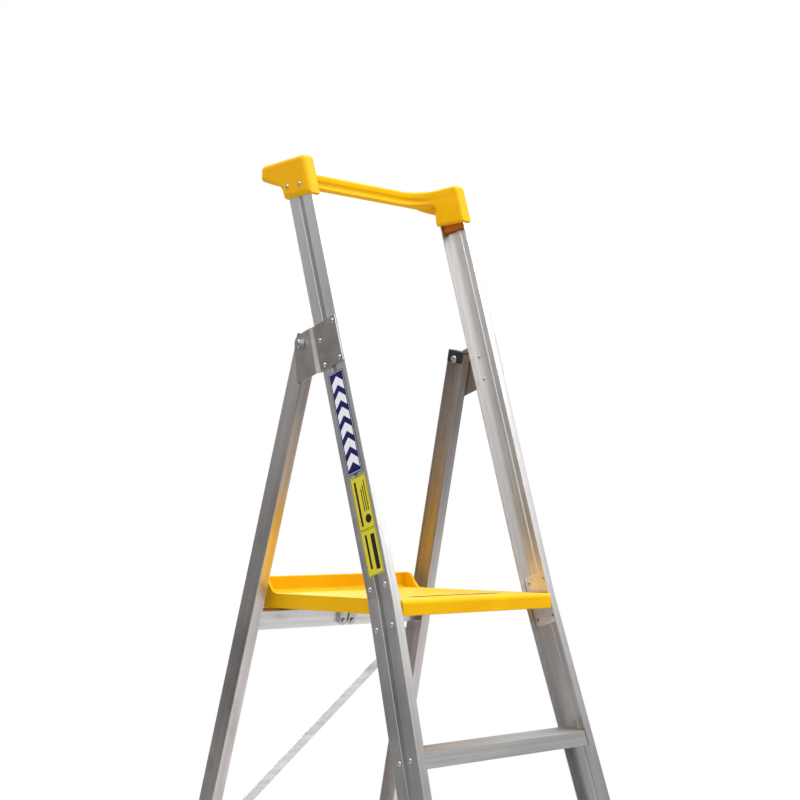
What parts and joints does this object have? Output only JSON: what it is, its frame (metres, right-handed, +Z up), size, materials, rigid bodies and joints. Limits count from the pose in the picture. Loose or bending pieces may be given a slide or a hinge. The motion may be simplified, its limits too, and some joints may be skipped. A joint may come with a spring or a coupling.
{
  "type": "platform step ladder",
  "caption": "Folding aluminium platform step ladder with ribbed treads, a moulded deck with toe board, braced rear legs and a moulded waist-height handrail.",
  "frame": {"origin": "on the floor, on the centre plane, midway between the front of the front feet and the back of the rear feet, with the ladder open", "axes": "+Z up, -Y the side that is climbed, +X to the right of a person climbing"},
  "size_m": [0.6472, 1.1222, 2.0947],
  "materials": {
    "anodised_aluminium": "mill-finish extruded aluminium, satin, fine lengthwise die lines",
    "tread_aluminium": "extruded aluminium with ribbed, scuffed upper face",
    "zinc_steel": "zinc-plated steel, semi-bright",
    "rivet_aluminium": "bright aluminium rivet heads",
    "yellow_moulding": "moulded yellow polypropylene, satin gloss",
    "black_plastic": "black moulded plastic, fine grain",
    "foot_rubber": "black rubber, ribbed sole",
    "navy_label": "printed vinyl label, navy with pale shapes",
    "yellow_label": "printed vinyl label, yellow with plain dark blocks"
  },
  "bodies": {
    "front_frame": {"left_stile": "anodised_aluminium", "right_stile": "anodised_aluminium", "left_front_foot": "foot_rubber", "right_front_foot": "foot_rubber", "left_hinge_plate": "anodised_aluminium", "right_hinge_plate": "anodised_aluminium", "left_deck_bracket": "anodised_aluminium", "right_deck_bracket": "anodised_aluminium", "tread_1": "tread_aluminium", "tread_2": "tread_aluminium", "tread_3": "tread_aluminium", "tread_brackets": "anodised_aluminium", "tread_rivets": "rivet_aluminium", "tread_braces": "anodised_aluminium", "hinge_rivets": "rivet_aluminium", "pivot_bolts": "zinc_steel", "pivot_washers": "zinc_steel", "pivot_nuts": "zinc_steel", "deck_bracket_rivets": "rivet_aluminium", "deck_pivot_pins": "zinc_steel", "deck_pivot_spacers": "black_plastic", "handrail_moulding": "yellow_moulding", "head_rivets": "zinc_steel", "side_label_upper": "navy_label", "side_label_lower": "yellow_label"},
    "rear_frame": {"left_rear_leg": "anodised_aluminium", "right_rear_leg": "anodised_aluminium", "left_rear_foot": "foot_rubber", "right_rear_foot": "foot_rubber", "left_leg_cap": "black_plastic", "right_leg_cap": "black_plastic", "rear_bar_upper": "anodised_aluminium", "rear_bar_middle": "anodised_aluminium", "rear_bar_lower": "anodised_aluminium", "rear_bar_rivets": "rivet_aluminium", "rear_braces": "anodised_aluminium", "rear_brace_rivets": "rivet_aluminium", "deck_rest_pads": "foot_rubber", "deck_rest_lugs": "zinc_steel", "deck_rest_bolts": "zinc_steel"},
    "platform": {"deck": "yellow_moulding"}
  },
  "joints": [
    {"name": "rear_fold", "type": "hinge", "parent": "front_frame", "child": "rear_frame", "pos_m": [0, 0.07126, 1.682], "axis": [-1, 0, 0], "range_deg": [0, 32.1]},
    {"name": "deck_fold", "type": "hinge", "parent": "front_frame", "child": "platform", "pos_m": [0, -0.16673, 1.134], "axis": [1, 0, 0], "range_deg": [0, 73.24]}
  ],
  "couplings": [
    {"joint": "deck_fold", "follows": "rear_fold", "ratio": 2.28}
  ]
}
